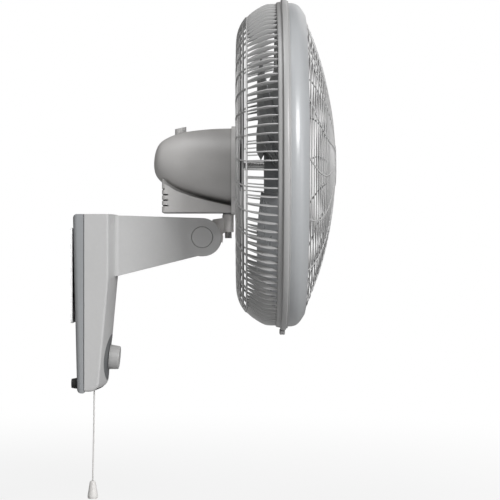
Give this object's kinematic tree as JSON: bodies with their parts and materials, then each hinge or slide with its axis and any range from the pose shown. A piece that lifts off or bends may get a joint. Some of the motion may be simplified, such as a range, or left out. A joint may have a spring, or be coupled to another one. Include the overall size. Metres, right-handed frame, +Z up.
{
  "type": "wall mounted fan",
  "caption": "Wall mounted oscillating fan: a slim wall housing with an arm, a tilting and swinging motor head and a round guarded blade with a pull cord and a speed knob.",
  "frame": {"origin": "centre of the wall plate's four screw holes, on the wall plane", "axes": "+Z up, -Y the way the air leaves, +Y into the wall, +X to the fan's left seen from the front"},
  "size_m": [0.44, 0.3483, 0.6662],
  "materials": {
    "housing_plastic": "fine satin moulding",
    "back_plastic": "satin moulding",
    "motor_cover_plastic": "satin moulding",
    "guard_plastic": "semi-gloss moulding",
    "cowl_plastic": "gloss moulding",
    "blade_plastic": "smooth dark moulding",
    "knob_plastic": "satin moulding",
    "dial_plastic": "fine texture",
    "neck_metal": "painted casting",
    "cast_alloy": "as cast",
    "steel": "bright zinc",
    "lamination": "stacked sheet",
    "winding": "lacquered wire",
    "sinter_bronze": "oiled",
    "inner_plastic": "matt moulding",
    "rubber_black": "matt",
    "cord_nylon": "braided cord",
    "pull_plastic": "ivory moulding"
  },
  "bodies": {
    "wall_unit": {"wall_plate": "steel", "back_case": "back_plastic", "front_housing": "housing_plastic", "housing_screws": "steel", "rubber_feet": "rubber_black", "arm_bracket": "cast_alloy", "bracket_screws": "steel", "pivot_caps": "housing_plastic", "tilt_bolt": "steel", "tilt_nut": "steel", "friction_washers": "sinter_bronze", "dial_plate": "dial_plastic", "selector_switch": "inner_plastic", "pull_switch": "inner_plastic", "cord_bush": "inner_plastic", "run_capacitor": "inner_plastic", "terminal_block": "inner_plastic", "mains_grommet": "rubber_black"},
    "selector": {"selector_knob": "knob_plastic"},
    "pull": {"pull_plunger": "inner_plastic", "pull_cord": "cord_nylon", "cord_pull": "pull_plastic"},
    "neck": {"tilt_neck": "neck_metal", "osc_bush": "sinter_bronze"},
    "link": {"osc_link": "steel"},
    "head": {"osc_bracket": "cast_alloy", "osc_shaft": "steel", "osc_nut": "steel", "gearbox_case": "cast_alloy", "motor_front_bell": "cast_alloy", "motor_rear_bell": "cast_alloy", "front_bearing": "steel", "rear_bearing": "steel", "stator_core": "lamination", "stator_windings": "winding", "motor_cover": "motor_cover_plastic", "gear_skirt": "motor_cover_plastic", "front_collar": "motor_cover_plastic", "cover_screws": "steel", "rear_guard": "guard_plastic", "guard_nut": "inner_plastic", "rim_band": "guard_plastic", "rim_screw": "steel", "front_cowl": "cowl_plastic", "front_guard": "guard_plastic", "centre_badge": "guard_plastic"},
    "crank": {"osc_crank": "steel"},
    "rotor": {"rotor_core": "lamination", "motor_shaft": "steel", "blade": "blade_plastic", "spinner": "blade_plastic"},
    "clutch": {"clutch_knob": "knob_plastic"}
  },
  "joints": [
    {"name": "tilt", "type": "hinge", "parent": "wall_unit", "child": "neck", "pos_m": [0, -0.1698, 0.0501], "axis": [1, 0, 0], "range_deg": [0, 42]},
    {"name": "oscillation", "type": "hinge", "parent": "neck", "child": "head", "pos_m": [0, -0.2042, 0.0806], "axis": [0, 0, 1], "range_deg": [-40, 40]},
    {"name": "blade_spin", "type": "hinge", "parent": "head", "child": "rotor", "pos_m": [0, -0.2, 0.146], "axis": [0, 1, 0], "continuous": true},
    {"name": "crank_turn", "type": "hinge", "parent": "head", "child": "crank", "pos_m": [0.01, -0.1401, 0.1], "axis": [0, 0, 1], "range_deg": [-92, 92]},
    {"name": "link_swing", "type": "hinge", "parent": "neck", "child": "link", "pos_m": [0.01316, -0.19941, 0.086], "axis": [0, 0, 1], "range_deg": [-44, 44]},
    {"name": "clutch_pull", "type": "slide", "parent": "head", "child": "clutch", "axis": [0, 0, 1], "range_m": [0, 0.006]},
    {"name": "selector_turn", "type": "hinge", "parent": "wall_unit", "child": "selector", "pos_m": [0, -0.04568, -0.1095], "axis": [0, -0.9959, -0.0906], "range_deg": [-135, 0]},
    {"name": "cord_draw", "type": "slide", "parent": "wall_unit", "child": "pull", "axis": [0, 0, -1], "range_m": [0, 0.012], "stiffness_N_per_m": 250, "springref_m": -0.008}
  ],
  "couplings": [
    {"joint": "crank_turn", "follows": "oscillation", "ratio": -2.25},
    {"joint": "link_swing", "follows": "oscillation", "ratio": 1.07}
  ]
}
